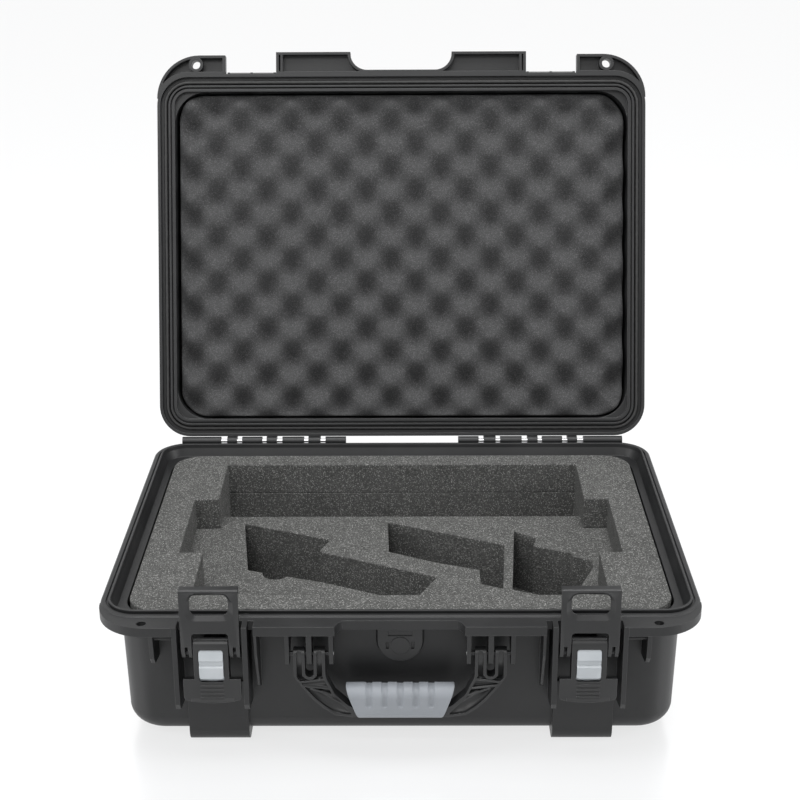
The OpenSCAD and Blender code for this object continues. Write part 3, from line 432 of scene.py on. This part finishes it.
FLUTES, FLUTE_PITCH, FLUTE_R, FLUTE_OUT, FLUTE_LENGTH = 5, 0.0129, 0.0032, 0.0015, 0.0145
# A flute starts in a round tip, whose rings grow from a small first one. Further up, each
# ring leans a step more over the grip's top, and from LEVEL_STEP on about its back edge.
TIP_TURNS = (0.0, 0.4, 0.8, 1.2, math.pi / 2)
TIP_REACH, TIP_LEAST = 0.999, 0.02
LEAN_STEP, LEAN_STEPS, LEVEL_STEP = math.radians(12), 13, 8

grip = bmesh.new()
bmesh.ops.create_cube(grip, size=1)
bmesh.ops.scale(grip, vec=(GRIP_W, GRIP_T, GRIP_H), verts=grip.verts)
for vert in grip.verts:
    if vert.co.z < 0:
        vert.co.x -= math.copysign(GRIP_TAPER, vert.co.x)
bmesh.ops.translate(grip, vec=(0, GRIP_Y, GRIP_TOP - GRIP_H / 2), verts=grip.verts)
long_edges = [edge for edge in grip.edges if abs(edge.verts[0].co.x - edge.verts[1].co.x) > GRIP_W / 2]
plain_bevel = {"profile": 0.5, "affect": "EDGES", "material": -1}
bmesh.ops.bevel(grip, geom=long_edges, offset=GRIP_ROUND, segments=12, **plain_bevel)
end_edges = [edge for edge in grip.edges if edge.calc_face_angle() > math.radians(40)]
bmesh.ops.bevel(grip, geom=end_edges, offset=GRIP_LIP, segments=3, **plain_bevel)
handle_grip = new_piece("grip_moulding", grip, grip_look)
flutes = bmesh.new()
front_y, turn_z, reach = GRIP_Y - GRIP_T / 2 + GRIP_ROUND, GRIP_TOP - GRIP_ROUND, GRIP_ROUND + FLUTE_OUT
back_y = front_y + GRIP_T - 2 * GRIP_ROUND
for number in range(FLUTES):
    across = (number - (FLUTES - 1) / 2) * FLUTE_PITCH
    path = []
    for turn in TIP_TURNS:
        height = GRIP_TOP - FLUTE_LENGTH - FLUTE_R * math.cos(turn) * TIP_REACH
        path.append((front_y - reach, height, 0.0, FLUTE_R * max(math.sin(turn), TIP_LEAST)))
    for step in range(LEAN_STEPS):
        lean = LEAN_STEP * step
        centre_y = front_y if step < LEVEL_STEP else back_y
        path.append((centre_y - reach * math.cos(lean), turn_z + reach * math.sin(lean), -lean, FLUTE_R))
    rings = []
    for y, z, lean, radius in path:
        stand = Matrix.Translation((across, y, z)) @ Matrix.Rotation(lean, 4, "X")
        made = bmesh.ops.create_circle(flutes, segments=20, radius=radius, matrix=stand)["verts"]
        rings.append(list({edge for vert in made for edge in vert.link_edges}))
    loft(flutes, rings)
carve(handle_grip, flutes)
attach(handle_grip, "handle")
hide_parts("handle_grip")

# ---------------------------------------------------------------------------
# Seals: the lid's gasket and the valve's washer are solid black rubber. The gasket lies
# in a groove round the lid, and the nut holds the washer against the wall.
# ---------------------------------------------------------------------------
graph, close = plain_finish("seal_rubber")
place = object_place(graph)
dust = graph.add("ShaderNodeTexNoise", {"Vector": place, "Scale": 300.0, "Detail": 5.0}).over(0.4, 0.75)
skin = graph.add("ShaderNodeBump", {"Height": dust, "Strength": 0.2, "Distance": 0.0001})
seal_look = close(
    Base_Color=graph.blend(dust, (0.012, 0.012, 0.012), (0.03, 0.03, 0.03)),
    Roughness=0.5 + dust * 0.15,
    Normal=skin,
)
paint(["lid_gasket", "valve_seal"], seal_look)

# ---------------------------------------------------------------------------
# Hinge pins: drawn steel wire, with fine lines along its length. Each is cut to length
# and pushed through its row of knuckles.
# ---------------------------------------------------------------------------


def drawn_lines(graph, place):
    """The fine lines that a drawing die leaves along a wire, and the skin that they give it."""
    along = graph.add("ShaderNodeMapping", {"Vector": place, "Scale": (20.0, 1500.0, 1500.0)})
    lines = graph.add("ShaderNodeTexNoise", {"Vector": along, "Scale": 1.0, "Detail": 4.0}).over(0.3, 0.7)
    return lines, graph.add("ShaderNodeBump", {"Height": lines, "Strength": 0.2, "Distance": 0.00005})


graph, close = plain_finish("pin_steel")
lines, skin = drawn_lines(graph, object_place(graph))
steel_look = close(
    Base_Color=graph.blend(lines, (0.50, 0.50, 0.51), (0.62, 0.62, 0.63)),
    Metallic=1.0,
    Roughness=0.28 + lines * 0.12,
    Normal=skin,
)
paint(["hinge_pin_left", "hinge_pin_right"], steel_look)

# ---------------------------------------------------------------------------
# Button springs: a few turns of the same steel, in a finer wire. Each stands on its
# lever under the button, and shortens when the button is pressed.
# ---------------------------------------------------------------------------
for side_name in ("left", "right"):
    spring = new_piece(f"spring_{side_name}", clean_copy(f"button_spring_{side_name}"), steel_look)
    smooth_by_angle(spring)
    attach(spring, f"lever_{side_name}")
    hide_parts(f"button_spring_{side_name}")
    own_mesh(spring)

# ---------------------------------------------------------------------------
# Handle and latch pins: the same wire, blackened so that it doesn't show beside the
# plastic. Only the peened ends of the handle's pins are rubbed bright.
# ---------------------------------------------------------------------------
HANDLE_PIN_MIDDLE, HANDLE_PIN_BARE, HANDLE_PIN_FADE = 0.0745, 0.0178, 0.0004


def blackened_steel(name, bright_ends):
    """Blackened wire, with bare bright ends on the pins that show them."""
    graph, close = plain_finish(name)
    place = object_place(graph)
    lines, skin = drawn_lines(graph, place)
    colour = graph.blend(lines, (0.010, 0.010, 0.011), (0.024, 0.024, 0.026))
    metal = lines * 0.1 + 0.3
    if bright_ends:
        across = graph.add("ShaderNodeSeparateXYZ", {"Vector": place}, out=0).math("ABSOLUTE")
        past_middle = (across - HANDLE_PIN_MIDDLE).math("ABSOLUTE")
        bare = past_middle.over(HANDLE_PIN_BARE, HANDLE_PIN_BARE + HANDLE_PIN_FADE)
        colour = graph.blend(bare, colour, (0.55, 0.55, 0.56))
        metal = bare.math("MAXIMUM", metal)
    return close(Base_Color=colour, Metallic=metal, Roughness=0.35 + lines * 0.1, Normal=skin)


latch_pins = ["lever_pin_left", "lever_pin_right", "claw_pin_left", "claw_pin_right"]
paint(latch_pins, blackened_steel("latch_pin", bright_ends=False))
paint(["handle_pin_left", "handle_pin_right"], blackened_steel("handle_pin", bright_ends=True))

# ---------------------------------------------------------------------------
# Valve membrane: a thin white disc of felted plastic that lets air through and keeps
# water out. It lies across the bore of the valve's body.
# ---------------------------------------------------------------------------
graph, close = plain_finish("membrane")
felt = graph.add("ShaderNodeTexNoise", {"Vector": object_place(graph), "Scale": 2500.0, "Detail": 3.0})
skin = graph.add("ShaderNodeBump", {"Height": felt, "Strength": 0.3, "Distance": 0.0001})
white = graph.blend(felt, (0.7, 0.7, 0.68), (0.8, 0.8, 0.79))
paint(["valve_membrane"], close(Base_Color=white, Roughness=0.7, Normal=skin))

# ---------------------------------------------------------------------------
# Base foam: three layers of grey open-cell polyurethane, glued together. The upper two
# are cut right through with a knife, so their cut cells sparkle light and dark.
# ---------------------------------------------------------------------------
FOAM_EDGE = 0.0009


def foam_finish(name, dark, mid, light, cell, depth):
    """Cut open-cell foam: a salt-and-pepper face of opened cells over soft mottling."""
    graph, close = plain_finish(name)
    place = object_place(graph)
    opened = {"Vector": place, "Scale": cell, "Randomness": 1.0}
    cells = graph.add("ShaderNodeTexVoronoi", opened, feature="F1")
    specks = graph.add("ShaderNodeTexVoronoi", {"Vector": place, "Scale": cell}, out="Color", feature="F1")
    tone = graph.add("ShaderNodeSeparateColor", {"Color": specks}, out=0)
    torn = {"Vector": place, "Scale": cell * 0.45, "Detail": 5.0, "Roughness": 0.75}
    crumbs = graph.add("ShaderNodeTexNoise", torn)
    uneven = {"Vector": place, "Scale": 45.0, "Detail": 5.0, "Roughness": 0.6}
    mottle = graph.add("ShaderNodeTexNoise", uneven)
    shade = graph.blend(crumbs.over(0.3, 0.7) * 0.75 + mottle.over(0.3, 0.7) * 0.25, dark, mid)
    colour = graph.blend(tone.over(0.55, 1.0) * (1.0 - cells.over(0.2, 0.75)), shade, light)
    relief = {"Height": cells * 0.6 + crumbs * 1.2, "Strength": 0.7, "Distance": depth}
    skin = graph.add("ShaderNodeBump", relief)
    return close(Base_Color=colour, Roughness=0.95, Specular_IOR_Level=0.1, Normal=skin)


base_foam_look = foam_finish(
    "foam_base",
    dark=(0.054, 0.0545, 0.0525),
    mid=(0.126, 0.127, 0.1235),
    light=(0.38, 0.38, 0.37),
    cell=1050.0,
    depth=0.0006,
)
BASE_FOAM_PIECES = {
    "base_foam_pad": "foam_base_pad",
    "base_foam_lower": "foam_lower_layer",
    "base_foam_upper": "foam_upper_layer",
}
for piece_name, node in BASE_FOAM_PIECES.items():
    piece = new_piece(piece_name, clean_copy(node), base_foam_look)
    soften = piece.modifiers.new("soft_edges", "BEVEL")
    soften.width = FOAM_EDGE
    soften.segments = 2
    soften.limit_method = "ANGLE"
    soften.angle_limit = math.radians(40)
    soften.harden_normals = False
    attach(piece, "base")
    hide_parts(node)

# ---------------------------------------------------------------------------
# Lid foam: charcoal convoluted foam, peeled apart between two rollers into rows of
# bumps and dips, and glued into the lid by its flat back.
# ---------------------------------------------------------------------------
HINGE = Vector((0, 0.1913, 0.13))
LID_OPEN = math.radians(108.7)
LID_FOAM_W, LID_FOAM_D = 0.459, 0.3325
LID_FOAM_R = 0.027
BACK_CHAMFER = 0.0135
PEAK_Z = 0.135
BACK_Z = 0.1882
BUMP_X, BUMP_Y, BUMP_H = 0.0515, 0.0479, 0.016
BUMP_FROM = (-0.0108, -0.0115)
FACE_SET_BACK = 0.0002
WANDER, WANDER_SCALE = 0.0012, 18
STEP = 0.0021

lid_foam_look = foam_finish(
    "foam_lid",
    dark=(0.048, 0.048, 0.049),
    mid=(0.076, 0.0765, 0.0775),
    light=(0.145, 0.145, 0.147),
    cell=1300.0,
    depth=0.0003,
)


def into_corner(point):
    """Draws a point of the foam's square corner in onto the round one."""
    inner = Vector((LID_FOAM_W / 2 - LID_FOAM_R, LID_FOAM_D / 2 - LID_FOAM_R))
    past = Vector((abs(point.x) - inner.x, abs(point.y) - inner.y))
    if past.x > 0 and past.y > 0:
        reach = max(past.x, past.y)
        past = past.normalized() * reach
        point.x = math.copysign(inner.x + past.x, point.x)
        point.y = math.copysign(inner.y + past.y, point.y)


def crate(x, y):
    """Height of the convoluted face at a point of the shut lid, from 0 on a peak to 1 in a dip."""
    across = math.cos(2 * math.pi * (x - BUMP_FROM[0]) / BUMP_X)
    along = math.cos(2 * math.pi * (y - BUMP_FROM[1]) / BUMP_Y)
    return 0.5 - 0.5 * (across * along)


foam = bmesh.new()
columns, rows = round(LID_FOAM_W / STEP), round(LID_FOAM_D / STEP)
bmesh.ops.create_grid(foam, x_segments=columns, y_segments=rows, size=0.5)
bmesh.ops.scale(foam, vec=(LID_FOAM_W, LID_FOAM_D, 1), verts=foam.verts)
for vert in foam.verts:
    into_corner(vert.co)
    wander = noise.noise(Vector((vert.co.x, vert.co.y, 0)) * WANDER_SCALE) * WANDER
    vert.co.z = PEAK_Z + FACE_SET_BACK + BUMP_H * crate(vert.co.x, vert.co.y) + max(wander, -FACE_SET_BACK)
rim = [edge for edge in foam.edges if edge.is_boundary]
for height, inset in ((BACK_Z - BACK_CHAMFER, 0.0), (BACK_Z, BACK_CHAMFER)):
    grown = bmesh.ops.extrude_edge_only(foam, edges=rim)["geom"]
    rim = [item for item in grown if isinstance(item, bmesh.types.BMEdge) and item.is_boundary]
    for vert in {vert for edge in rim for vert in edge.verts}:
        vert.co.z = height
        vert.co.x *= (LID_FOAM_W - 2 * inset) / LID_FOAM_W
        vert.co.y *= (LID_FOAM_D - 2 * inset) / LID_FOAM_D
bmesh.ops.contextual_create(foam, geom=rim)
bmesh.ops.recalc_face_normals(foam, faces=foam.faces)
bmesh.ops.rotate(foam, cent=HINGE, matrix=Matrix.Rotation(-LID_OPEN, 3, "X"), verts=foam.verts)
for face in foam.faces:
    face.smooth = True
lid_foam = new_piece("lid_foam", foam, lid_foam_look)
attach(lid_foam, "lid")
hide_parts("foam_lid")
